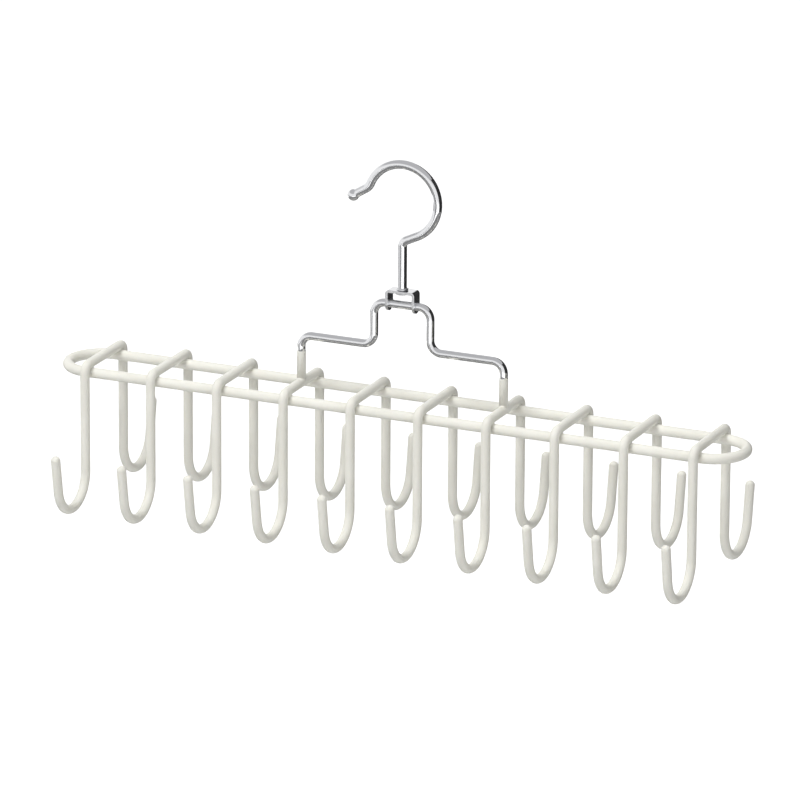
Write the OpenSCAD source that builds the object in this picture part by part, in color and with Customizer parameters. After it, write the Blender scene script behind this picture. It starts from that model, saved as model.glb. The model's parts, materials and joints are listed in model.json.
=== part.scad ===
// Swivelling rack for ties: a wire hook for the wardrobe rod, a saddle that swings on a bent wire
// frame, and a coated ring of wire that carries a row of double hooks.
// The origin is the middle of the hook's eye, where the rod's axis runs along Y. Z points up and
// the rack runs along X. All sizes are in millimetres.

/* [Hanging hook] */
// Thickness of the hook's wire
hook_wire_d = 4.5; // [3:0.1:5]
// Inside width of the eye that goes over the rod
eye_d = 33.5; // [26:0.1:44]
// Slope of the neck that leads up from the shank to the eye, above the horizontal
neck_slope = 25; // [15:1:40]
// Bend radius between the shank and the neck, on the wire's centreline
neck_bend_r = 3.6; // [3.2:0.1:5]
// Where the eye ends, counted round it from the right hand side
eye_end = 156.5; // [120:0.5:175]
// Bend radius of the tip that turns outward, on the wire's centreline
tip_bend_r = 6; // [4:0.5:8]
// How far the tip turns outward
tip_turn = 35; // [10:1:50]
// Straight wire from the tip's bend to the middle of the ball
tip_run = 8.2; // [5:0.1:14]
// Width of the ball on the tip
ball_d = 6; // [5.4:0.1:9]
// Straight shank from the saddle's top to where the neck's slope would meet it
shank_len = 25.1; // [14:0.1:60]
// Width of the collar on the shank, above the saddle
collar_d = 6.1; // [5.4:0.1:8]
// Height of the collar
collar_h = 1; // [0.6:0.1:2]
// Width of the head that is peened over below the saddle
head_d = 7; // [5.6:0.1:8]
// Height of the peened head
head_h = 1; // [0.6:0.1:1.4]

/* [Saddle] */
// Overall width of the saddle, along the top bar
saddle_w = 16; // [13:0.1:18]
// Width of the strap that the saddle is bent from
strap_w = 7.2; // [6.4:0.1:10]
// Thickness of the strap
strap_t = 1.4; // [1:0.1:2]
// Inner radius of the saddle's two corners
saddle_corner_r = 0.5; // [0.3:0.1:2]
// Clear height between the top bar and the plate above it
bar_gap = 4.3; // [3:0.1:12]
// Running clearance round the shank and round the top bar
running_play = 0.05; // [0.02:0.01:0.1]
// Play of the collar above the plate, and of the head below it
end_play = 0.1; // [0.05:0.05:0.4]

/* [Frame] */
// Thickness of the frame's wire
frame_wire_d = 4.2; // [3:0.1:5]
// Distance between the two risers beside the saddle, between centrelines
riser_span = 30.8; // [30.2:0.1:60]
// Height of the top bar above the two arms, between centrelines
riser_rise = 22.8; // [15:0.1:60]
// Height of the arms above the double hooks' cross bars, between centrelines
leg_rise = 25.1; // [16:0.1:60]
// Number of double hooks between the two that the legs stand on
hooks_between_legs = 2; // [2:2:6]
// Bend radius of the frame, on the wire's centreline
frame_bend_r = 6; // [4:0.5:6]

/* [Ring] */
// Thickness of the ring's wire, without its coat
ring_wire_d = 5; // [4:0.1:6]
// Straight rail beyond the middle of the last double hook
rail_end = 1.9; // [0:0.1:20]

/* [Double hooks] */
// Distance from one double hook to the next
hook_pitch = 37; // [30:0.5:50]
// Thickness of the double hooks' wire, without its coat
tie_wire_d = 4.5; // [3.5:0.1:5.5]
// Distance between the two shanks of a double hook, between centrelines
shank_span = 44; // [36:0.5:70]
// Bend radius where the cross bar turns down past the rail, on the wire's centreline
corner_r = 3.6; // [3.2:0.1:6]
// Gap between the shanks and the rails they pass
rail_gap = 0.65; // [0.5:0.05:3]
// How deep the welds set the cross bars into the rails
weld_set = 0.05; // [0.05:0.01:0.2]
// Drop from the cross bar's centreline to the middle of the upturned hooks
hook_drop = 55.5; // [30:0.1:120]
// Bend radius of the upturned hooks, on the wire's centreline
hook_bend_r = 15.7; // [10:0.1:22]
// Outward lean of the upturned ends from the vertical
lean = 9; // [0:1:25]
// Straight wire from the upturned bend to the middle of the rounded tip
hook_tip_run = 17.6; // [8:0.1:40]

/* [Coat] */
// Thickness of the plastic coat on the rack
coat_t = 0.2; // [0.1:0.05:0.5]
// Height of the coat on the legs, above the cross bar's centreline
coat_rise = 16.8; // [8:0.1:18]

/* [Hidden] */
$fn = 48;

// Each double hook has its own name above, so their number is fixed
hook_count = 10;

// A bend comes out a hair thicker than the straight wire, which runs a little way into it
bend_swell = 0.01;
bite = 0.1;

eye_r = (eye_d + hook_wire_d) / 2;
// The neck is tangent to the eye, and its slope meets the shank's axis below the eye
eye_sweep = eye_end + 90 - neck_slope;
neck_run = eye_r * tan(neck_slope);
neck_z = -eye_r / cos(neck_slope);
neck_trim = neck_bend_r * tan((90 - neck_slope) / 2);
eye_blend = 0.5;

// Levels, from the saddle down to the rails
plate_top_z = neck_z - shank_len;
plate_z = plate_top_z - strap_t;
head_z = plate_z - end_play - head_h;
top_bar_z = plate_z - bar_gap - frame_wire_d / 2;
arm_z = top_bar_z - riser_rise;
cross_z = arm_z - leg_rise;
rail_z = cross_z - (ring_wire_d + tie_wire_d) / 2 + weld_set;

shank_y = shank_span / 2;
rail_y = shank_y - (tie_wire_d + ring_wire_d) / 2 - rail_gap;
row_half = (hook_count - 1) * hook_pitch / 2;
rail_half = row_half + rail_end;
leg_x = (hooks_between_legs + 1) * hook_pitch / 2;
// The legs start a little above the cross bars' centreline, inside the weld
leg_foot = tie_wire_d / 8;

// The rounded tip of an upturned hook, in front of the middle of its cross bar
tip_y = shank_y + hook_bend_r * (1 + cos(lean)) + hook_tip_run * sin(lean);
tip_z = cross_z - hook_drop - hook_bend_r * sin(lean) + hook_tip_run * cos(lean);

function row_x(i) = (i - 1) * hook_pitch - row_half;

// A direction in the plane of the hanging hook
function ray(angle) = [cos(angle), 0, sin(angle)];

// A wire is a walk along its own centreline that sets out up Z. Each step is a straight run and
// then a bend, as [run, bend radius, bend angle], where a positive angle bends towards X.
module wire(d, steps, i = 0) {
    run = steps[i][0];
    r = steps[i][1];
    turn = steps[i][2];
    side = sign(turn) * r;
    before = i > 0 ? bite : 0;
    after = turn != 0 ? bite : 0;
    translate([0, 0, -before]) cylinder(d = d, h = before + run + after);
    if (turn != 0) translate([side, 0, run]) bend(d + 2 * bend_swell, side, turn);
    if (i + 1 < len(steps))
        translate([side, 0, run])
            rotate([0, turn, 0])
                translate([-side, 0, 0])
                    wire(d, steps, i + 1);
}

// One bend of a wire round the origin, where side is the radius, with the sign of the turn
module bend(d, side, turn) {
    rotate([90, 0, 0])
        rotate([0, 0, turn > 0 ? 180 - turn : 0])
            rotate_extrude(angle = abs(turn))
                translate([abs(side), 0])
                    circle(d = d);
}

module hanging_hook() {
    color("silver")
        union() {
            translate([0, 0, head_z])
                wire(hook_wire_d, [
                    [neck_z - head_z - neck_trim, neck_bend_r, 90 - neck_slope],
                    [neck_run - neck_trim, eye_r, -eye_sweep],
                    [eye_blend, tip_bend_r, tip_turn],
                    [tip_run, 0, 0],
                ]);
            tip_ball();
            collar();
            peened_head();
        }
}

// A round bead swaged on the shank, just above the saddle's plate
module collar() {
    translate([0, 0, plate_top_z + end_play + collar_h / 2])
        rotate_extrude()
            translate([(collar_d - collar_h) / 2, 0])
                circle(d = collar_h);
}

// The wire's lower end, hammered out to a low dome below the plate
module peened_head() {
    dome = 0.7 * head_h;
    dome_r = (head_d * head_d / 4 + dome * dome) / (2 * dome);
    translate([0, 0, head_z])
        intersection() {
            cylinder(d = head_d, h = head_h);
            translate([0, 0, dome_r]) sphere(r = dome_r, $fn = 144);
        }
}

// The ball at the end of the tip, found by the same walk from the middle of the eye
module tip_ball() {
    tip_end = eye_end - tip_turn;
    at = (eye_r + tip_bend_r) * ray(eye_end) + eye_blend * ray(eye_end + 90)
        - tip_bend_r * ray(tip_end) + tip_run * ray(tip_end + 90);
    translate(at) sphere(d = ball_d);
}

module saddle() {
    ear_h = plate_top_z - top_bar_z;
    color("gainsboro")
        difference() {
            intersection() {
                // The bent strap, seen along Y
                translate([0, strap_w, top_bar_z])
                    rotate([90, 0, 0])
                        linear_extrude(2 * strap_w)
                            difference() {
                                arch(saddle_w, ear_h, saddle_corner_r + strap_t);
                                arch(saddle_w - 2 * strap_t, ear_h - strap_t, saddle_corner_r);
                            }
                // The strap's outline with its round ends, seen along X
                translate([-saddle_w, 0, top_bar_z])
                    rotate([90, 0, 90])
                        linear_extrude(2 * saddle_w)
                            union() {
                                translate([-strap_w / 2, 0]) square([strap_w, ear_h + 1]);
                                circle(d = strap_w);
                            }
            }
            translate([-saddle_w, 0, top_bar_z])
                rotate([0, 90, 0])
                    cylinder(d = frame_wire_d + 2 * running_play, h = 2 * saddle_w);
            translate([0, 0, plate_z - 1])
                cylinder(d = hook_wire_d + 2 * running_play, h = strap_t + 2);
        }
}

// An upright arch with round corners, open well below the top bar
module arch(w, h, r) {
    union() {
        translate([-w / 2, -strap_w]) square([w, strap_w + h - r]);
        translate([r - w / 2, 0]) square([w - 2 * r, h]);
        for (side = [-1, 1]) translate([side * (w / 2 - r), h - r]) circle(r = r);
    }
}

// The frame's wire from one leg to the other, or only as much of the legs as the coat covers
module frame_wire(d, foot) {
    r = frame_bend_r;
    leg = leg_rise - foot - r;
    arm = leg_x - riser_span / 2 - 2 * r;
    translate([-leg_x, 0, cross_z + foot])
        wire(d, [
            [leg, r, 90],
            [arm, r, -90],
            [riser_rise - 2 * r, r, 90],
            [riser_span - 2 * r, r, 90],
            [riser_rise - 2 * r, r, -90],
            [arm, r, 90],
            [leg, 0, 0],
        ]);
}

module hanger_frame() {
    color("silver")
        difference() {
            frame_wire(frame_wire_d, leg_foot);
            for (side = [-1, 1]) translate([side * leg_x, 0, 0]) cross_bar(tie_wire_d);
        }
}

// The middle of one cross bar, to cut the foot of a leg to its curve
module cross_bar(d) {
    translate([0, -rail_y / 2, cross_z]) rotate([-90, 0, 0]) cylinder(d = d, h = rail_y);
}

module ring_loop(d) {
    translate([-rail_half, rail_y, rail_z])
        rotate([-90, 0, 0])
            rotate([0, 90, 0])
                wire(d, [
                    [2 * rail_half, rail_y, 180],
                    [2 * rail_half, rail_y, 180],
                ]);
}

module ring_wire() {
    color("gray") ring_loop(ring_wire_d);
}

// One double hook of wire in the plane across the rack, from tip to tip
module tie_wire(d) {
    rise = hook_drop - corner_r;
    rotate([0, 0, 90])
        union() {
            translate([-tip_y, 0, tip_z])
                rotate([0, 180 - lean, 0])
                    wire(d, [
                        [hook_tip_run, hook_bend_r, lean - 180],
                        [rise, corner_r, 90],
                        [shank_span - 2 * corner_r, corner_r, 90],
                        [rise, hook_bend_r, lean - 180],
                        [hook_tip_run, 0, 0],
                    ]);
            for (side = [-1, 1]) translate([side * tip_y, 0, tip_z]) sphere(d = d + 2 * bend_swell);
        }
}

module double_hook(i) {
    color("gray")
        difference() {
            translate([row_x(i), 0, 0]) tie_wire(tie_wire_d);
            ring_loop(ring_wire_d);
        }
}

// The rack is dipped in plastic once it is welded, so its coats run into one another. Each wire's
// coat is kept by itself here: the ring's and the double hooks' meet on the ring's outer surface.
module ring_coat() {
    color("ivory")
        difference() {
            ring_loop(ring_wire_d + 2 * coat_t);
            ring_loop(ring_wire_d);
            for (i = [1 : hook_count]) translate([row_x(i), 0, 0]) tie_wire(tie_wire_d);
        }
}

module hook_coat(i) {
    color("ivory")
        difference() {
            translate([row_x(i), 0, 0])
                difference() {
                    tie_wire(tie_wire_d + 2 * coat_t);
                    tie_wire(tie_wire_d);
                }
            ring_loop(ring_wire_d + 2 * coat_t);
            for (side = [-1, 1]) leg_end(side, frame_wire_d);
        }
}

// The lower end of a leg, as far up as the coat goes
module leg_end(side, d) {
    translate([side * leg_x, 0, cross_z + leg_foot]) cylinder(d = d, h = coat_rise - leg_foot);
}

module leg_coat(side) {
    color("ivory")
        difference() {
            leg_end(side, frame_wire_d + 2 * coat_t);
            translate([0, 0, -1]) leg_end(side, frame_wire_d);
            translate([0, 0, 1]) leg_end(side, frame_wire_d);
            translate([side * leg_x, 0, 0]) cross_bar(tie_wire_d + 2 * coat_t);
        }
}

hanging_hook();
saddle();
hanger_frame();
ring_wire();
double_hook(1);  // double_hook_01
double_hook(2);  // double_hook_02
double_hook(3);  // double_hook_03
double_hook(4);  // double_hook_04
double_hook(5);  // double_hook_05
double_hook(6);  // double_hook_06
double_hook(7);  // double_hook_07
double_hook(8);  // double_hook_08
double_hook(9);  // double_hook_09
double_hook(10);  // double_hook_10
ring_coat();
hook_coat(1);  // hook_coat_01
hook_coat(2);  // hook_coat_02
hook_coat(3);  // hook_coat_03
hook_coat(4);  // hook_coat_04
hook_coat(5);  // hook_coat_05
hook_coat(6);  // hook_coat_06
hook_coat(7);  // hook_coat_07
hook_coat(8);  // hook_coat_08
hook_coat(9);  // hook_coat_09
hook_coat(10);  // hook_coat_10
leg_coat(-1);  // leg_coat_left
leg_coat(1);  // leg_coat_right
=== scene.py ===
# %% [markdown]
# # A swivelling tie hanger
#
# The hanger is bent wire: a bright hook for the wardrobe rod, a small saddle that turns on it, a
# bright frame that swings in the saddle, and a coated ring with a row of double hooks. Whatever
# Blender opens with is cleared away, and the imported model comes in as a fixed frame. Its wires
# are right in place and size, but their round sides are made of flat strips, and a mirror finish
# shows each strip. So every wire that can be seen gets a smooth piece here, which follows the
# same centreline.

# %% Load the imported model
import json
import math

import bmesh
import bpy
from mathutils import Matrix, Vector

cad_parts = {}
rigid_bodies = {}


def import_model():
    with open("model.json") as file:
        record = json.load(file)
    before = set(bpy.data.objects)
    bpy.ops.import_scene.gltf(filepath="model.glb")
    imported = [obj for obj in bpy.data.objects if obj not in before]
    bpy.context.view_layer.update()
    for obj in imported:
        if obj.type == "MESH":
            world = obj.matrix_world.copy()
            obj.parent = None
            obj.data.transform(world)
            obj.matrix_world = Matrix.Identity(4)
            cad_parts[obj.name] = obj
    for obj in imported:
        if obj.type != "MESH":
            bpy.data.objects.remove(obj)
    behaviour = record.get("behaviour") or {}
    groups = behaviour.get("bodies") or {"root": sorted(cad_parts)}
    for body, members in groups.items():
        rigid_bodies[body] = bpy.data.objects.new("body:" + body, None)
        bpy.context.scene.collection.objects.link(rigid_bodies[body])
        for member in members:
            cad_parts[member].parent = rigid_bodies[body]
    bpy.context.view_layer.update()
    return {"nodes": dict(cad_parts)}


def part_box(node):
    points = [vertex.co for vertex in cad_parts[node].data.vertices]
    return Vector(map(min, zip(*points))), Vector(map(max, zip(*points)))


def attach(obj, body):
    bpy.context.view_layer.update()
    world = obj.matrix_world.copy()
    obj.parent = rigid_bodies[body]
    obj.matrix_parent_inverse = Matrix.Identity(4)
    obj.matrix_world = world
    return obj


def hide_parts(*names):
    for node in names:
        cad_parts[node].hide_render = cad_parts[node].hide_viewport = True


for item in list(bpy.data.objects):
    bpy.data.objects.remove(item)
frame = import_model()

# %% [markdown]
# ## The sizes that the wires follow
#
# These are the real hanger's own sizes, in metres. R stands for the radius of a wire or of a
# bend on its centreline, T for a thickness, and angles are in degrees. Only sizes that more than
# one piece shares stand here. The others stand beside the piece that they belong to.

# %% Sizes that the pieces share
MM = 0.001
HOOK_R = 2.25 * MM
FRAME_WIRE_R = 2.1 * MM
RING_R = 2.5 * MM
TIE_R = 2.25 * MM
COAT_T = 0.2 * MM
STRIP_T = 1.4 * MM
PLAY = 0.05 * MM
END_PLAY = 0.1 * MM
WELD_SET = 0.05 * MM

HOOK_COUNT = 10
PITCH = 37 * MM
ROW_X = [(i - (HOOK_COUNT - 1) / 2) * PITCH for i in range(HOOK_COUNT)]
LEG_X = 1.5 * PITCH
SHANK_Y = 22 * MM
CORNER_R = 3.6 * MM
RAIL_HALF = 168.4 * MM
RAIL_Y = 16.6 * MM

# %% [markdown]
# ## The levels down the hanger
#
# The levels follow from one another, starting at the middle of the hook's eye, which is the
# origin. The neck slopes down from the eye, the shank hangs from the neck, and so on down to the
# rails of the coated ring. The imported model's boxes then show whether a wire made at these
# levels lies where its solid lies.

# %% Work out the levels
EYE_R = 19.0 * MM
NECK_SLOPE = 25
SHANK_LEN = 25.1 * MM
BAR_GAP = 4.3 * MM
RISER_RISE = 22.8 * MM
LEG_RISE = 25.1 * MM

NECK_Z = -EYE_R / math.cos(math.radians(NECK_SLOPE))
PLATE_Z = NECK_Z - SHANK_LEN - STRIP_T
BAR_Z = PLATE_Z - BAR_GAP - FRAME_WIRE_R
ARM_Z = BAR_Z - RISER_RISE
CROSS_Z = ARM_Z - LEG_RISE
RAIL_Z = CROSS_Z - RING_R - TIE_R + WELD_SET

for node, level in (("hanger_frame", BAR_Z + FRAME_WIRE_R), ("ring_wire", RAIL_Z + RING_R)):
    apart = (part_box(node)[1].z - level) / MM
    print("%s: top at %.2f mm, %.3f mm from its solid's" % (node, level / MM, apart))

# %% [markdown]
# ## The camera
#
# The hanger was photographed with a long lens from a little above its front right. Each double
# hook is like the next one, 37 mm along, so the row works like a ruler in the picture: its
# spacing gave the camera's angles, its aim, its distance and its lens. They are the result of a
# fit, which is why they aren't round numbers.

# %% Camera at the photograph's angle
YAW, PITCH_DOWN, ROLL = (math.radians(a) for a in (23.95, 17.58, 0.311))
AIM = Vector((-0.000993, 0, 0.0025217 + RAIL_Z))
DISTANCE = 3.82233
PICTURE_PIXELS = 800
FOCAL_PIXELS = 7612.13
SENSOR = 36
LENS = FOCAL_PIXELS / PICTURE_PIXELS * SENSOR

back = Vector((math.sin(YAW) * math.cos(PITCH_DOWN), -math.cos(YAW) * math.cos(PITCH_DOWN),
               math.sin(PITCH_DOWN)))
level_right = Vector((math.cos(YAW), math.sin(YAW), 0))
level_up = back.cross(level_right)
right = level_right * math.cos(ROLL) + level_up * math.sin(ROLL)
up = level_up * math.cos(ROLL) - level_right * math.sin(ROLL)

camera_data = bpy.data.cameras.new("camera")
camera_data.sensor_width = SENSOR
camera_data.lens = LENS
camera_data.clip_end = 50
camera = bpy.data.objects.new("camera", camera_data)
facing = Matrix((right, up, back)).transposed().to_4x4()
camera.matrix_world = Matrix.Translation(AIM + back * DISTANCE) @ facing
bpy.context.scene.collection.objects.link(camera)
bpy.context.scene.camera = camera
print("camera at", [round(v, 3) for v in camera.location], "lens %.1f mm" % LENS)

# %% [markdown]
# ## How a wire is bent
#
# A wire bender holds a straight wire and works from one end: so much straight, then a bend of
# so many degrees round a former, then straight again. A mesh wire can be made in the same way.
# A circle of edges is the wire's end face. Extruding it and moving the new edges makes a
# straight run, and extruding it and turning the new edges round the former's axis makes a bend,
# a few degrees at a time. A curve object with a round bevel would be quicker to set up, but its
# corners are eased by handles, and here each bend is a true arc of a known radius.
#
# Each point of the wire also remembers where it lies along the wire and round it. A material
# can then draw marks along the wire through every bend.

# %% The wire bender
ROUND = 40
STEP_ANGLE = 5
CAP_RINGS = 7


class Bender:
    """Bends one wire in the XZ plane, from a start point, setting out up Z."""

    def __init__(self, radius, start=(0, 0, 0), heading=0):
        self.radius = radius
        self.bm = bmesh.new()
        self.way = self.bm.verts.layers.float_vector.new("wire_way")
        self.start = Vector(start)
        self.centre = Vector(start)
        self.first_heading = self.turned = heading
        self.length = 0.0
        place = Matrix.Translation(self.centre) @ Matrix.Rotation(math.radians(heading), 4, "Y")
        made = bmesh.ops.create_circle(self.bm, cap_ends=False, radius=radius, segments=ROUND,
                                       matrix=place)
        self.first = self.ring = list(self.bm.edges)
        self.note(made["verts"])

    def note(self, verts):
        """Stores where points lie, as two parts round the wire and one along it."""
        for vert in verts:
            local = Matrix.Rotation(-math.radians(self.turned), 3, "Y") @ (vert.co - self.centre)
            vert[self.way] = (local.x, local.y, self.length)

    def grow(self):
        """Extrudes the wire's end and returns the new end's points."""
        made = bmesh.ops.extrude_edge_only(self.bm, edges=self.ring)["geom"]
        self.ring = [item for item in made if isinstance(item, bmesh.types.BMEdge)]
        return [item for item in made if isinstance(item, bmesh.types.BMVert)]

    def heading(self):
        """The direction in which the wire's end points."""
        return Matrix.Rotation(math.radians(self.turned), 3, "Y") @ Vector((0, 0, 1))

    def advance(self, verts, length):
        """Moves the end's points and its centre straight on."""
        step = self.heading() * length
        bmesh.ops.translate(self.bm, verts=verts, vec=step)
        self.centre = self.centre + step
        self.length += length

    def resize(self, verts, size, centre):
        """Scales the end's points about a centre."""
        bmesh.ops.scale(self.bm, verts=verts, vec=(size, size, size),
                        space=Matrix.Translation(-centre))

    def run(self, length):
        """A straight run."""
        verts = self.grow()
        self.advance(verts, length)
        self.note(verts)

    def bend(self, radius, turn):
        """A bend round a former of that radius. A positive turn is towards X, from Z."""
        side = Matrix.Rotation(math.radians(self.turned), 3, "Y") @ Vector((1, 0, 0))
        former = self.centre + side * math.copysign(radius, turn)
        count = max(2, math.ceil(abs(turn) / STEP_ANGLE))
        for _ in range(count):
            verts = self.grow()
            spin = Matrix.Rotation(math.radians(turn / count), 3, "Y")
            bmesh.ops.rotate(self.bm, verts=verts, cent=former, matrix=spin)
            self.centre = former + spin @ (self.centre - former)
            self.turned += turn / count
            self.length += math.radians(abs(turn) / count) * radius
            self.note(verts)

    def follow(self, steps):
        """A list of straight runs, each with the bend after it, as (run, radius, turn)."""
        for run, radius, turn in steps:
            self.run(run)
            if turn:
                self.bend(radius, turn)
        return self

    def close_end(self):
        """Rounds off the wire's end with half a ball."""
        centre, heading = self.centre.copy(), self.heading()
        step = math.pi / 2 / CAP_RINGS
        for k in range(1, CAP_RINGS):
            verts = self.grow()
            ahead = heading * self.radius * (math.sin(step * k) - math.sin(step * (k - 1)))
            bmesh.ops.translate(self.bm, verts=verts, vec=ahead)
            level = centre + heading * self.radius * math.sin(step * k)
            self.resize(verts, math.cos(step * k) / math.cos(step * (k - 1)), level)
            self.note(verts)
        bmesh.ops.pointmerge(self.bm, verts=self.grow(), merge_co=centre + heading * self.radius)

    def turn_round(self):
        """Goes back to the wire's first end and looks out of it, so that it can be ended too."""
        self.ring = self.first
        self.centre = self.start.copy()
        self.turned = self.first_heading + 180

    def finish(self):
        """Closes what is open, and gives back the mesh with its faces pointing out."""
        open_edges = [edge for edge in self.bm.edges if edge.is_boundary]
        if open_edges:
            bmesh.ops.holes_fill(self.bm, edges=open_edges, sides=0)
        bmesh.ops.recalc_face_normals(self.bm, faces=self.bm.faces)
        return self.bm

# %% [markdown]
# ## From a mesh to a piece of the hanger
#
# A finished mesh becomes an object that is shaded smooth. It rides on one of the hanger's three
# moving bodies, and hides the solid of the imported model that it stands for. A wire's mesh is
# also moved to its place here, because it was bent in the plane that suits the bender.

# %% Turn a mesh into a piece


def moved(bm, matrix):
    """The same mesh, moved to its place."""
    bmesh.ops.transform(bm, matrix=matrix, verts=bm.verts)
    return bm


def piece_from(bm, name, body, *stands_for):
    """Makes a smooth-shaded object of a mesh, hangs it on a body and hides what it stands for."""
    mesh = bpy.data.meshes.new(name)
    bm.to_mesh(mesh)
    bm.free()
    mesh.shade_smooth()
    piece = bpy.data.objects.new(name, mesh)
    bpy.context.scene.collection.objects.link(piece)
    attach(piece, body)
    if stands_for:
        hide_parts(*stands_for)
    print("%s: %d faces" % (name, len(mesh.polygons)))
    return piece

# %% [markdown]
# ## A wire that changes its width
#
# Where the wire is not plain, it still is a round bar: the shank has a bead swaged on it, its
# lower end is hammered out to a head, and the tip ends in a ball. Each of these is the same
# extrusion again, with the new end also scaled. A separate ball or ring pushed over the wire
# would leave a hard crease all round, and the real ones are one piece of metal.

# %% Swell a wire


def swell(wire, profile):
    """Carries a wire on along its heading through rings of (distance ahead, radius)."""
    at, radius = 0.0, wire.radius
    for ahead, wanted in profile:
        verts = wire.grow()
        wire.advance(verts, ahead - at)
        wire.resize(verts, wanted / radius, wire.centre)
        wire.note(verts)
        at, radius = ahead, wanted


def arc_profile(centre, radius, offset, first, last, count):
    """A round profile's points. Its middle lies centre ahead, and offset out from the axis."""
    angles = [math.radians(first + (last - first) * k / count) for k in range(count + 1)]
    return [(centre + radius * math.sin(a), offset + radius * math.cos(a)) for a in angles]

# %% [markdown]
# ## The hanging hook
#
# One bright wire, 4.5 mm thick, makes the whole hook. It comes up out of the saddle through its
# collar, leans over, runs round the eye and turns outward to a ball, which slides over the rod
# without scratching it. The bends are walked in the order in which the wire is bent. Then the
# walk turns round at the lower end and adds the head, a low dome that keeps the shank in the
# saddle's plate. Three rings close together above the collar keep its round shading off the
# long straight shank: without them the shank would show a grey smear over its whole length.

# %% Bend the hanging hook
EYE_END, TIP_TURN = 156.5, 35
NECK_R, TIP_BEND_R = 3.6 * MM, 6 * MM
EYE_BLEND, TIP_RUN = 0.5 * MM, 8.2 * MM
BEAD_R, COLLAR_R = 0.5 * MM, 3.05 * MM
BALL_R, BALL_AHEAD = 3 * MM, 2.8 * MM
HEAD_R, HEAD_RIM, DOME_RISE = 3.5 * MM, 0.3 * MM, 0.7 * MM
HEAD_EDGE = 0.1 * MM

neck_trim = NECK_R * math.tan(math.radians((90 - NECK_SLOPE) / 2))
neck_run = EYE_R * math.tan(math.radians(NECK_SLOPE))
collar = arc_profile(BEAD_R, BEAD_R, COLLAR_R - BEAD_R, -80, 80, 10)
above_collar = [(1.03 * MM, HOOK_R), (1.1 * MM, HOOK_R), (1.3 * MM, HOOK_R)]
before_ball = [(0.3 * MM, HOOK_R), (0.62 * MM, 2.27 * MM), (0.86 * MM, 2.33 * MM)]
ball = arc_profile(BALL_AHEAD, BALL_R, 0, -36, 86, 16)
rim = [(0.0, HEAD_R - HEAD_EDGE), (HEAD_EDGE, HEAD_R), (HEAD_RIM, HEAD_R)]
dome = [(HEAD_RIM + DOME_RISE * math.sin(math.radians(a)), HEAD_R * math.cos(math.radians(a)))
        for a in range(12, 90, 11)]

hook_wire = Bender(HOOK_R, start=(0, 0, PLATE_Z - END_PLAY))
hook_wire.run(STRIP_T + 2 * END_PLAY)
swell(hook_wire, collar + above_collar)
hook_wire.run(NECK_Z - neck_trim - hook_wire.centre.z)
hook_wire.bend(NECK_R, 90 - NECK_SLOPE)
hook_wire.follow([
    (neck_run - neck_trim, EYE_R, -(EYE_END + 90 - NECK_SLOPE)),
    (EYE_BLEND, TIP_BEND_R, TIP_TURN),
    (TIP_RUN - BALL_AHEAD, 0, 0),
])
swell(hook_wire, before_ball + ball)
hook_wire.turn_round()
swell(hook_wire, rim + dome)
hook = piece_from(hook_wire.finish(), "hook_wire", "hook", "hanging_hook")

# %% [markdown]
# ## The frame
#
# The second bright wire is bent six times in one plane: up from the left leg, in along the
# arm, up the riser, across the top bar that lies in the saddle, and the same down the right. Its
# feet end inside the cross bars that they are welded to.

# %% Bend the frame
FRAME_R = 6 * MM
RISER_SPAN = 30.8 * MM
LEG_FOOT = TIE_R / 4
leg = ARM_Z - CROSS_Z - LEG_FOOT - FRAME_R
arm = LEG_X - RISER_SPAN / 2 - 2 * FRAME_R
riser = RISER_RISE - 2 * FRAME_R

frame_wire = Bender(FRAME_WIRE_R, start=(-LEG_X, 0, CROSS_Z + LEG_FOOT))
frame_wire.follow([
    (leg, FRAME_R, 90),
    (arm, FRAME_R, -90),
    (riser, FRAME_R, 90),
    (RISER_SPAN - 2 * FRAME_R, FRAME_R, 90),
    (riser, FRAME_R, -90),
    (arm, FRAME_R, 90),
    (leg, 0, 0),
])
hanger = piece_from(frame_wire.finish(), "frame_wire", "rack", "hanger_frame")

# %% [markdown]
# ## The saddle's blank
#
# The saddle is pressed from strip. A maker punches a flat blank with round ends, one hole in
# the middle for the hook and one in each end for the bar, breaks its edges, and folds it over a
# former. The mesh is made in the same order, and this is the first half: the outline and the
# holes are filled as one flat face, which is pulled up to the strip's thickness and bevelled. A
# boolean cut of finished holes would leave long thin faces that spoil the reflections. The
# sheared sides get a second material, because they stay duller than the rolled faces.

# %% Punch the saddle's blank
STRIP_W = 7.2 * MM
SADDLE_W, FOLD_R = 16 * MM, 0.5 * MM
EDGE = 0.16 * MM
FOLD_STEPS = 9
FOLD_LENGTH = 1.6 * MM
HOLE_SIDES = 48
flat_half = SADDLE_W / 2 - STRIP_T - FOLD_R
ear = (PLATE_Z + STRIP_T) - BAR_Z - STRIP_T - FOLD_R
ear_x = flat_half + FOLD_LENGTH + ear


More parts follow.
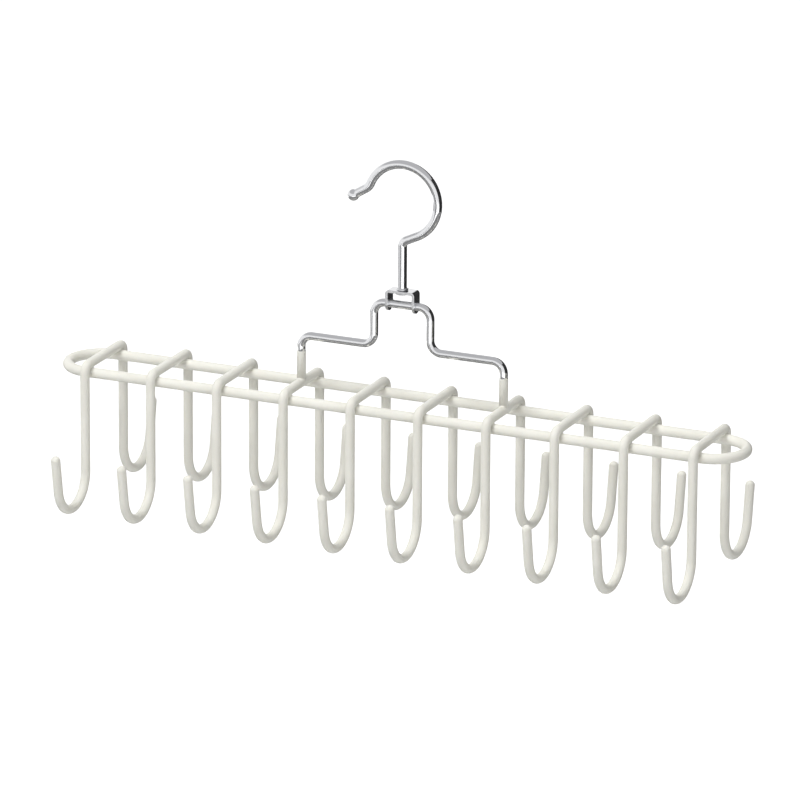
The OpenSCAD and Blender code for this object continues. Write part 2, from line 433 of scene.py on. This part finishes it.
def punch_blank(bm):
    """The flat strip with round ends and three holes, as one filled outline."""
    for x, wire_r in ((-ear_x, FRAME_WIRE_R), (0, HOOK_R), (ear_x, FRAME_WIRE_R)):
        bmesh.ops.create_circle(bm, cap_ends=False, radius=wire_r + PLAY, segments=HOLE_SIDES,
                                matrix=Matrix.Translation((x, 0, 0)))
    for x, first in ((ear_x, -90), (-ear_x, 90)):
        turn = Matrix.Rotation(math.radians(first), 4, "Z")
        place = Matrix.Translation((x, 0, 0)) @ turn @ Matrix.Translation((STRIP_W / 2, 0, 0))
        start = bmesh.ops.create_vert(bm, co=place.translation)["vert"]
        bmesh.ops.spin(bm, geom=start, cent=(x, 0, 0), axis=(0, 0, 1), angle=math.pi,
                       steps=HOLE_SIDES // 2, use_duplicate=False)
    ends = [vert for vert in bm.verts if len(vert.link_edges) == 1]
    for side in (-1, 1):
        bmesh.ops.contextual_create(bm, geom=[vert for vert in ends if vert.co.y * side > 0])
    bmesh.ops.triangle_fill(bm, edges=bm.edges, use_beauty=True)


def thicken(bm):
    """Pulls the flat face up to the strip's thickness and breaks all its edges."""
    pulled = bmesh.ops.extrude_face_region(bm, geom=bm.faces[:], use_keep_orig=True)["geom"]
    low = [item for item in pulled if isinstance(item, bmesh.types.BMVert)]
    bmesh.ops.translate(bm, verts=low, vec=(0, 0, -STRIP_T))
    bmesh.ops.recalc_face_normals(bm, faces=bm.faces)
    level = [edge for edge in bm.edges
             if abs(edge.verts[0].co.z - edge.verts[1].co.z) < 1e-6]
    rims = [edge for edge in level if edge.calc_face_angle(0) > 1]
    bmesh.ops.bevel(bm, geom=rims, offset=EDGE, offset_type="OFFSET", segments=3, profile=0.5,
                    affect="EDGES", clamp_overlap=True, material=-1)


blank = bmesh.new()
punch_blank(blank)
print("blank: %d faces, %.1f mm long" % (len(blank.faces), (2 * ear_x + STRIP_W) / MM))
thicken(blank)

# %% [markdown]
# ## Folding the saddle
#
# Cuts are made across the two fold lines, close together, and everything beyond each cut is
# turned about the former by its share of the right angle. Each point first stores where it lay
# on the flat blank, since only that tells which side of a cut it is on while its ear is turning.
# Shading weighted by the faces' areas then keeps the flats flat up to their broken edges.

# %% Fold the saddle


def fold(bm, flat_x, side):
    """Turns all that lies beyond the fold line down about the former, step by step."""
    piece = FOLD_LENGTH / FOLD_STEPS
    for k in reversed(range(FOLD_STEPS)):
        line = flat_half + k * piece
        beyond = [vert for vert in bm.verts if vert[flat_x] * side > line + piece / 2]
        bmesh.ops.translate(bm, verts=beyond, vec=(-side * piece, 0, 0))
        turn = Matrix.Rotation(math.radians(side * 90 / FOLD_STEPS), 3, "Y")
        former = (side * line, 0, -STRIP_T - FOLD_R)
        bmesh.ops.rotate(bm, verts=beyond, cent=former, matrix=turn)


for side in (-1, 1):
    for k in range(FOLD_STEPS + 1):
        cut = (side * (flat_half + k * FOLD_LENGTH / FOLD_STEPS), 0, 0)
        bmesh.ops.bisect_plane(blank, geom=blank.verts[:] + blank.edges[:] + blank.faces[:],
                               dist=1e-7, plane_co=cut, plane_no=(1, 0, 0))
for face in blank.faces:
    sheared = abs(face.normal.z) < 0.5
    face.material_index = 1 if sheared else 0
flat_x = blank.verts.layers.float.new("flat_x")
for vert in blank.verts:
    vert[flat_x] = vert.co.x
fold(blank, flat_x, -1)
fold(blank, flat_x, 1)
bmesh.ops.translate(blank, verts=blank.verts, vec=(0, 0, PLATE_Z + STRIP_T))
bmesh.ops.recalc_face_normals(blank, faces=blank.faces)
saddle = piece_from(blank, "saddle_strip", "saddle", "saddle")
even = saddle.modifiers.new("even shading", "WEIGHTED_NORMAL")
even.weight = 100

# %% [markdown]
# ## The double hooks and their coat
#
# Each double hook is one wire, bent four times: an upturned hook, a shank, the cross bar, the
# other shank and the other hook. The whole rack is then dipped in plastic, so what shows is the
# coat. It is about as thin as a visiting card, and it closes round each tip. Here the coat of
# each wire is a wire of its own, a little thicker than the steel, and the steel inside stays as
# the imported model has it.

# %% Bend the coats
COAT_R = TIE_R + COAT_T
LOOP_R, LEAN = 15.7 * MM, 9
HOOK_RUN = 17.6 * MM
DROP = 55.5 * MM
lean_cos, lean_sin = math.cos(math.radians(LEAN)), math.sin(math.radians(LEAN))
tip_y = SHANK_Y + LOOP_R * (1 + lean_cos) + HOOK_RUN * lean_sin
tip_z = CROSS_Z - DROP - LOOP_R * lean_sin + HOOK_RUN * lean_cos
shank = DROP - CORNER_R
across = Matrix.Rotation(math.radians(90), 4, "Z")


def double_hook(x):
    """The coat of one double hook, from tip to tip."""
    wire = Bender(COAT_R, start=(-tip_y, 0, tip_z), heading=180 - LEAN)
    wire.follow([
        (HOOK_RUN, LOOP_R, LEAN - 180),
        (shank, CORNER_R, 90),
        (2 * (SHANK_Y - CORNER_R), CORNER_R, 90),
        (shank, LOOP_R, LEAN - 180),
        (HOOK_RUN, 0, 0),
    ])
    wire.close_end()
    wire.turn_round()
    wire.close_end()
    return moved(wire.finish(), Matrix.Translation((x, 0, 0)) @ across)


coats = []
for i, x in enumerate(ROW_X):
    node = "hook_coat_%02d" % (i + 1)
    coats.append(piece_from(double_hook(x), node + "_skin", "rack", node))

# %% [markdown]
# ## The ring's coat
#
# The ring is the longest wire of all: two straight rails and two half circles, closed to one
# loop. It is bent like the others and laid flat, and its two ends are joined by merging the
# points that meet.

# %% Bend the ring's coat
ring_wire = Bender(RING_R + COAT_T)
ring_wire.follow([(2 * RAIL_HALF, RAIL_Y, 180), (2 * RAIL_HALF, RAIL_Y, 180)])
bmesh.ops.remove_doubles(ring_wire.bm, verts=ring_wire.bm.verts, dist=0.01 * MM)
flat = Matrix.Rotation(math.radians(-90), 4, "X") @ Matrix.Rotation(math.radians(90), 4, "Y")
ring_bm = moved(ring_wire.finish(), Matrix.Translation((-RAIL_HALF, RAIL_Y, RAIL_Z)) @ flat)
coats.append(piece_from(ring_bm, "ring_coat_skin", "rack", "ring_coat"))

# %% [markdown]
# ## Sleeves on the legs
#
# When the rack is dipped, the plastic also climbs a short way up the bright legs and stops in a
# soft rounded edge. Each sleeve is a short tube that draws in to the wire at its top.

# %% Pull the sleeves up the legs
SLEEVE_R = FRAME_WIRE_R + COAT_T
SLEEVE_RISE, SOFT_RISE = 16.8 * MM, 0.5 * MM
soft_edge = [(0.2 * MM, 2.28 * MM), (0.35 * MM, 2.22 * MM), (0.45 * MM, 2.15 * MM),
             (SOFT_RISE, 2.08 * MM)]
for side, name in ((-1, "leg_coat_left"), (1, "leg_coat_right")):
    sleeve = Bender(SLEEVE_R, start=(side * LEG_X, 0, CROSS_Z + LEG_FOOT))
    sleeve.run(SLEEVE_RISE - LEG_FOOT - SOFT_RISE)
    swell(sleeve, soft_edge)
    coats.append(piece_from(sleeve.finish(), name + "_skin", "rack", name))

# %% [markdown]
# ## Plastic pooled at the crossings
#
# Where a cross bar lies on a rail, liquid plastic gathers in the narrow corner between them and
# sets as a soft fillet. It is made by letting two short lengths of the same wires flow together:
# a remesh turns both into one even skin, and smoothing then fills the corner and draws
# everything else in by a hair, so that only the fillet stands out of the coats. A bevel can't do
# this, since the coats are separate meshes that share no edge.

# %% Let the plastic pool
REACH = 5 * MM
VOXEL = 0.27 * MM
SOFTENING = 16


def pour(pool, wire, matrix):
    """Adds a finished wire to a pool of them."""
    bm = moved(wire.finish(), matrix)
    part = bpy.data.meshes.new("part")
    bm.to_mesh(part)
    bm.free()
    pool.from_mesh(part)
    bpy.data.meshes.remove(part)


def flow_together(pool, name):
    """Turns the wires of a pool into one skin with soft inner corners."""
    piece = piece_from(pool, name, "rack")
    skin = piece.modifiers.new("one skin", "REMESH")
    skin.mode = "VOXEL"
    skin.voxel_size = VOXEL
    skin.use_smooth_shade = True
    soft = piece.modifiers.new("soft corners", "SMOOTH")
    soft.factor = 0.5
    soft.iterations = SOFTENING
    coats.append(piece)


def crossing(pool, x, side):
    """A short length of a cross bar with its bend, and the rail below it."""
    bar = Bender(COAT_R, start=(RAIL_Y - REACH, 0, CROSS_Z), heading=90)
    bar.follow([(SHANK_Y - CORNER_R - RAIL_Y + REACH, CORNER_R, 90), (REACH, 0, 0)])
    outside = Matrix.Rotation(math.radians(90 * side), 4, "Z")
    pour(pool, bar, Matrix.Translation((x, 0, 0)) @ outside)
    outward = math.copysign(1, x)
    rail = Bender(RING_R + COAT_T, start=(x - outward * REACH, 0, side * RAIL_Y),
                  heading=90 * outward)
    straight = min(REACH, RAIL_HALF - abs(x))
    rail.run(REACH + straight)
    if straight < REACH:
        rail.bend(RAIL_Y, side * outward * math.degrees((REACH - straight) / RAIL_Y))
    laid = Matrix.Rotation(math.radians(-90), 4, "X")
    pour(pool, rail, Matrix.Translation((0, 0, RAIL_Z)) @ laid)


for side, name in ((-1, "front_pools"), (1, "back_pools")):
    pool = bmesh.new()
    for x in ROW_X:
        crossing(pool, x, side)
    flow_together(pool, name)

pool = bmesh.new()
for x in (-LEG_X, LEG_X):
    foot = Bender(SLEEVE_R, start=(x, 0, CROSS_Z)).follow([(REACH, 0, 0)])
    pour(pool, foot, Matrix())
    bar = Bender(COAT_R, start=(-REACH, 0, CROSS_Z), heading=90).follow([(2 * REACH, 0, 0)])
    pour(pool, bar, Matrix.Translation((x, 0, 0)) @ across)
flow_together(pool, "leg_pools")

# %% [markdown]
# ## Bright plate
#
# The hook, the saddle and the frame are chromium plated. Plate is a mirror that is nearly
# white, and it shows the steel below: wire keeps faint lines from the die that it was drawn
# through, which run along it. The lines come from noise that is stretched along the wire, and
# they only tilt the surface, because a darker or rougher line would look like dirt. A second,
# broad noise dulls the mirror a little here and there, as hands do.

# %% Plate material
LINES_ALONG_WIRE = (2600, 2600, 45)
LINES_ON_STRIP = (350, 2200, 350)
WORN = 0.06


def material(name):
    """A new material with its Principled shader."""
    made = bpy.data.materials.new(name)
    made.use_nodes = True
    tree = made.node_tree
    return made, tree.nodes, tree.links, tree.nodes["Principled BSDF"]


def plate(name, drawn, roughness=0.05, colour=(0.80, 0.805, 0.82)):
    """Bright metal, on drawn wire or on rolled strip."""
    made, nodes, links, shader = material(name)
    shader.inputs["Base Color"].default_value = (*colour, 1)
    shader.inputs["Metallic"].default_value = 1
    grain = nodes.new("ShaderNodeTexNoise")
    grain.inputs["Detail"].default_value = 3
    grain.inputs["Scale"].default_value = 1
    spread = nodes.new("ShaderNodeMapping")
    spread.inputs["Scale"].default_value = LINES_ALONG_WIRE if drawn else LINES_ON_STRIP
    spot = nodes.new("ShaderNodeTexCoord")
    if drawn:
        along = nodes.new("ShaderNodeAttribute")
        along.attribute_name = "wire_way"
        links.new(along.outputs["Vector"], spread.inputs["Vector"])
    else:
        links.new(spot.outputs["Object"], spread.inputs["Vector"])
    links.new(spread.outputs["Vector"], grain.inputs["Vector"])
    bump = nodes.new("ShaderNodeBump")
    bump.inputs["Strength"].default_value = 0.12
    bump.inputs["Distance"].default_value = 0.02 * MM
    links.new(grain.outputs["Fac"], bump.inputs["Height"])
    links.new(bump.outputs["Normal"], shader.inputs["Normal"])
    cloud = nodes.new("ShaderNodeTexNoise")
    cloud.inputs["Scale"].default_value = 90
    links.new(spot.outputs["Object"], cloud.inputs["Vector"])
    rough = nodes.new("ShaderNodeMapRange")
    rough.inputs["To Min"].default_value = roughness
    rough.inputs["To Max"].default_value = roughness + WORN
    links.new(cloud.outputs["Fac"], rough.inputs["Value"])
    links.new(rough.outputs["Result"], shader.inputs["Roughness"])
    return made


wire_plate = plate("chromium on drawn wire", True)
strip_plate = plate("chromium on rolled strip", False)
edge_plate = plate("chromium on sheared edges", False, roughness=0.3)
bare_steel = plate("bright drawn steel", False, colour=(0.45, 0.45, 0.46))

# %% [markdown]
# ## Dipped plastic
#
# The coat is soft vinyl, off-white and satin. It is not quite opaque, so light enters a little
# way, and its surface is slightly uneven where it ran before it set. A broad noise gives the
# unevenness, a fine one the dull skin, and both are small against the wire's thickness.

# %% Vinyl material


def vinyl(name):
    """The off-white dip coat."""
    made, nodes, links, shader = material(name)
    shader.inputs["Roughness"].default_value = 0.42
    shader.inputs["IOR"].default_value = 1.52
    shader.inputs["Subsurface Weight"].default_value = 0.08
    shader.inputs["Subsurface Radius"].default_value = (1.0, 0.9, 0.7)
    shader.inputs["Subsurface Scale"].default_value = 0.6 * MM
    place = nodes.new("ShaderNodeTexCoord")
    cloud = nodes.new("ShaderNodeTexNoise")
    cloud.inputs["Scale"].default_value = 60
    cloud.inputs["Detail"].default_value = 4
    links.new(place.outputs["Object"], cloud.inputs["Vector"])
    tone = nodes.new("ShaderNodeValToRGB")
    darker, lighter = tone.color_ramp.elements
    darker.position, darker.color = 0.3, (0.80, 0.79, 0.72, 1)
    lighter.position, lighter.color = 0.7, (0.85, 0.84, 0.775, 1)
    links.new(cloud.outputs["Fac"], tone.inputs["Fac"])
    links.new(tone.outputs["Color"], shader.inputs["Base Color"])
    skin = nodes.new("ShaderNodeTexNoise")
    skin.inputs["Scale"].default_value = 260
    skin.inputs["Detail"].default_value = 5
    links.new(place.outputs["Object"], skin.inputs["Vector"])
    bump = nodes.new("ShaderNodeBump")
    bump.inputs["Strength"].default_value = 0.25
    bump.inputs["Distance"].default_value = 0.08 * MM
    links.new(skin.outputs["Fac"], bump.inputs["Height"])
    links.new(bump.outputs["Normal"], shader.inputs["Normal"])
    return made


dip = vinyl("off-white vinyl dip")

# %% [markdown]
# ## Dressing the pieces
#
# Each piece gets its material, and each solid of the imported model gets the finish that suits
# its name. The steel inside the coats is out of sight, and still gets the finish of drawn steel
# wire.

# %% Give each piece its finish


def finish_of(node_name):
    """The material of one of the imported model's solids."""
    if node_name == "ring_wire" or node_name.startswith("double_hook"):
        return bare_steel
    return dip if "coat" in node_name else wire_plate


for piece, look in ((hook, wire_plate), (hanger, wire_plate), (saddle, strip_plate)):
    piece.data.materials.append(look)
saddle.data.materials.append(edge_plate)
for piece in coats:
    piece.data.materials.append(dip)
for name, node in frame["nodes"].items():
    for spot in node.material_slots:
        spot.material = finish_of(name)
print("coated pieces:", len(coats))

# %% [markdown]
# ## The studio's tools
#
# Bright metal against white would vanish, so a photographer puts dark and grey cards round it,
# and each round wire then shows them as bands along its sides. The cards here are seen by metal
# alone: the camera, the shadows and the light that plain surfaces throw about pass through
# them. For the white surroundings it is the other way round. What the camera and the metal see
# of them can be pure white, while plain surfaces get only part of that light.

# %% Cards, floor and light strengths


def white_where_seen(nodes, links, hidden, seen):
    """One strength for what the camera, metal or glass sees, and another for plain light."""
    ray = nodes.new("ShaderNodeLightPath")
    most = ray.outputs["Is Camera Ray"]
    for kind in ("Is Glossy Ray", "Is Transmission Ray"):
        either = nodes.new("ShaderNodeMath")
        either.operation = "MAXIMUM"
        links.new(most, either.inputs[0])
        links.new(ray.outputs[kind], either.inputs[1])
        most = either.outputs["Value"]
    level = nodes.new("ShaderNodeMapRange")
    level.inputs["To Min"].default_value = hidden
    level.inputs["To Max"].default_value = seen
    links.new(most, level.inputs["Value"])
    return level.outputs["Result"]


def stage_piece(bm, name, colour, glow=0.0):
    """A matt thing of the studio that isn't part of the hanger."""
    mesh = bpy.data.meshes.new(name)
    bm.to_mesh(mesh)
    bm.free()
    thing = bpy.data.objects.new(name, mesh)
    bpy.context.scene.collection.objects.link(thing)
    made, nodes, links, shader = material(name)
    shader.inputs["Base Color"].default_value = (*colour, 1)
    shader.inputs["Roughness"].default_value = 0.9
    shader.inputs["Specular IOR Level"].default_value = 0
    if glow:
        strength = white_where_seen(nodes, links, 0.0, glow)
        links.new(strength, shader.inputs["Emission Strength"])
        shader.inputs["Emission Color"].default_value = (1, 1, 1, 1)
    mesh.materials.append(made)
    return thing


def for_metal_only(thing):
    """Leaves a card to be seen in reflections alone."""
    thing.visible_camera = thing.visible_diffuse = thing.visible_shadow = False


def compass(azimuth):
    """A direction round the hanger, in degrees from the camera's side, positive to its right."""
    angle = math.radians(azimuth - 90) + YAW
    return Vector((math.cos(angle), math.sin(angle), 0))


def curved_card(name, first, last, inner, outer, grey):
    """A card that curves round the hanger. It is one edge from an inner to an outer place, each
    given as distance and height, which is spun from one compass direction to another."""
    bm = bmesh.new()
    foot_place = compass(first) * inner[0] + Vector((0, 0, inner[1]))
    foot = bmesh.ops.create_vert(bm, co=foot_place)["vert"]
    tall = bmesh.ops.extrude_vert_indiv(bm, verts=foot)
    across_card = compass(first) * (outer[0] - inner[0]) + Vector((0, 0, outer[1] - inner[1]))
    bmesh.ops.translate(bm, verts=tall["verts"], vec=across_card)
    bmesh.ops.spin(bm, geom=bm.verts[:] + bm.edges[:], cent=(0, 0, 0), axis=(0, 0, 1),
                   angle=math.radians(last - first), steps=24, use_duplicate=False)
    for_metal_only(stage_piece(bm, name, (grey, grey, grey)))


def level_disc(radius, height, sides):
    """A flat sheet that lies level: four sides make a square, and many make a disc."""
    bm = bmesh.new()
    bmesh.ops.create_circle(bm, cap_ends=True, radius=radius, segments=sides,
                            matrix=Matrix.Translation((0, 0, height)))
    return bm

# %% [markdown]
# ## Floor and cards
#
# The floor is pale paint that reads as white in the picture and in the metal, and it still takes
# the hanger's shadow. A black card stands curved round the right of the hanger and gives each
# upright wire its dark line on the right. The other cards lie just above the floor: a dark round
# sheet below the hanger, and grey, dark and pale strips in arcs round its left. The wires that
# run along the row mirror those in turn, as the bands along their lower sides.

# %% Lay out the floor and the cards
FLOOR_Z = -0.52
CARD_Z = FLOOR_Z + 0.02

stage_piece(level_disc(9, FLOOR_Z, 4), "floor", (0.9, 0.9, 0.895), glow=0.65)
for_metal_only(stage_piece(level_disc(1.0, CARD_Z, 64), "dark sheet", (0.27, 0.27, 0.27)))
curved_card("black card", 37, 162, (1.05, FLOOR_Z), (1.05, 0.95), 0.04)
curved_card("grey strip", -105, -45, (0.99, CARD_Z), (1.48, CARD_Z), 0.5)
curved_card("dark strip", -58, -30, (1.48, CARD_Z), (2.1, CARD_Z), 0.12)
curved_card("pale strip", -170, -58, (1.48, CARD_Z), (2.4, CARD_Z), 0.85)
print("stage: floor %.2f m below the eye, cards %.2f m below it" % (-FLOOR_Z, -CARD_Z))

# %% [markdown]
# ## Lamps and the room
#
# The light is soft and comes from the upper left, so each coated wire is bright on its left and
# falls off gently to the right. Metal shows the room itself: white at the level of the hanger
# and grey overhead, which is the grey band along the top of each level wire.

# %% Lamps and world
LAMP_AIM = Vector((0, 0, -0.1))


def soft_lamp(name, width, height, place, power):
    """A soft box that looks at the middle of the hanger."""
    data = bpy.data.lights.new(name, "AREA")
    data.shape = "RECTANGLE"
    data.size = width
    data.size_y = height
    data.energy = power
    lamp = bpy.data.objects.new(name, data)
    towards = (Vector(place) - LAMP_AIM).to_track_quat("Z", "Y")
    lamp.matrix_world = Matrix.Translation(place) @ towards.to_matrix().to_4x4()
    lamp.visible_glossy = False
    bpy.context.scene.collection.objects.link(lamp)


soft_lamp("key", 1.4, 1.1, compass(-46) * 1.7 + Vector((0, 0, 2.1)), 50)
soft_lamp("top", 1.8, 1.8, (0, 0.2, 2.1), 18)
soft_lamp("fill", 1.4, 1.4, compass(30) * 2.6 + Vector((0, 0, 0.6)), 9)

world = bpy.data.worlds.new("studio")
bpy.context.scene.world = world
world.use_nodes = True
room, joins = world.node_tree.nodes, world.node_tree.links
sky = room["Background"]
joins.new(white_where_seen(room, joins, 0.36, 1.0), sky.inputs["Strength"])
way = room.new("ShaderNodeTexCoord")
split = room.new("ShaderNodeSeparateXYZ")
joins.new(way.outputs["Generated"], split.inputs["Vector"])
overhead = room.new("ShaderNodeValToRGB")
level, above = overhead.color_ramp.elements
level.position, level.color = 0.34, (1, 1, 1, 1)
above.position, above.color = 0.56, (0.55, 0.55, 0.56, 1)
joins.new(split.outputs["Z"], overhead.inputs["Fac"])
joins.new(overhead.outputs["Color"], sky.inputs["Color"])
bpy.context.scene.view_settings.view_transform = "Standard"
